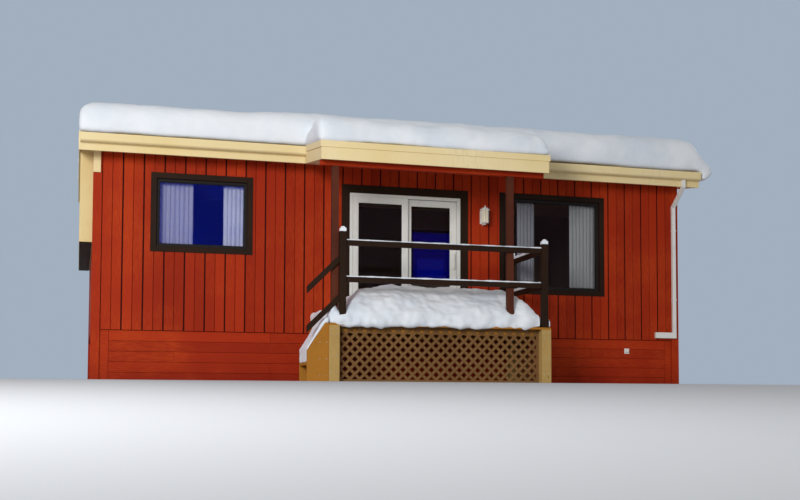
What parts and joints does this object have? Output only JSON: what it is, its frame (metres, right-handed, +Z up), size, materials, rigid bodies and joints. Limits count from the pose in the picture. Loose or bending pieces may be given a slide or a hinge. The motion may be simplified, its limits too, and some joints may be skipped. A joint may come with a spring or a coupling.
{
  "type": "fishing hut",
  "caption": "Long low fishing hut with red board walls on a skirt, a raised lattice deck under a canopy, a sliding patio door, and snow on its low roof.",
  "frame": {"origin": "middle of the base of the whole hut, deck, canopy and roof snow, on the ground", "axes": "+X along the front wall towards the downspout end, +Y from the deck towards the back wall, +Z up"},
  "size_m": [9.485, 5.755, 4.1873],
  "materials": {
    "red_boards": "satin paint on boards",
    "floor_boards": "plain boards",
    "cream_trim": "satin enamel",
    "gutter_metal": "satin enamel",
    "white_spout": "satin enamel",
    "dark_trim": "dark brown paint",
    "dark_frames": "satin",
    "glazing": "clear",
    "white_vinyl": "smooth vinyl",
    "curtain_cloth": "pleated off-white cloth",
    "lantern": "satin enamel",
    "lantern_glass": "frosted",
    "pale_pine": "bare softwood",
    "brown_post": "brown stain",
    "brown_lattice": "brown stain",
    "dark_rail": "dark brown stain",
    "snow": "soft settled snow"
  },
  "bodies": {
    "hut": {"skirt_front": "red_boards", "skirt_back": "red_boards", "skirt_ends": "red_boards", "front_wall_left": "red_boards", "front_wall_right": "red_boards", "wall_over_door": "red_boards", "back_wall": "red_boards", "left_wall": "red_boards", "right_wall": "red_boards", "corner_boards": "red_boards", "canopy_beam": "red_boards", "floor": "floor_boards", "end_bay": "cream_trim", "eave_returns": "cream_trim", "roof_front": "cream_trim", "roof_back": "cream_trim", "fascia_boards": "cream_trim", "barge_boards": "cream_trim", "canopy_roof": "cream_trim", "canopy_fascia": "cream_trim", "gutters": "gutter_metal", "downspout": "white_spout", "skirt_vent": "white_spout", "window_trims": "dark_trim", "door_casing": "dark_trim", "window_frames": "dark_frames", "window_glass": "glazing", "fixed_door_glass": "glazing", "door_frame": "white_vinyl", "fixed_door_panel": "white_vinyl", "curtain_rods": "white_vinyl", "left_window_curtains": "curtain_cloth", "right_window_curtains": "curtain_cloth", "wall_lantern": "lantern", "lantern_glass": "lantern_glass", "deck_floor": "pale_pine", "deck_frame": "pale_pine", "deck_legs": "pale_pine", "stair_sides": "pale_pine", "stair_treads": "pale_pine", "canopy_posts": "brown_post", "lattice_front": "brown_lattice", "lattice_sides": "brown_lattice", "rail_posts": "dark_rail", "deck_rails": "dark_rail", "stair_rails": "dark_rail", "roof_snow": "snow", "canopy_snow": "snow", "deck_snow": "snow", "stair_snow": "snow", "rail_snow": "snow"},
    "sliding_door": {"sliding_door_panel": "white_vinyl", "sliding_door_glass": "glazing", "door_handle": "white_vinyl"}
  },
  "joints": [
    {"name": "door_slide", "type": "slide", "parent": "hut", "child": "sliding_door", "axis": [-1, 0, 0], "range_m": [0, 0.66]}
  ]
}
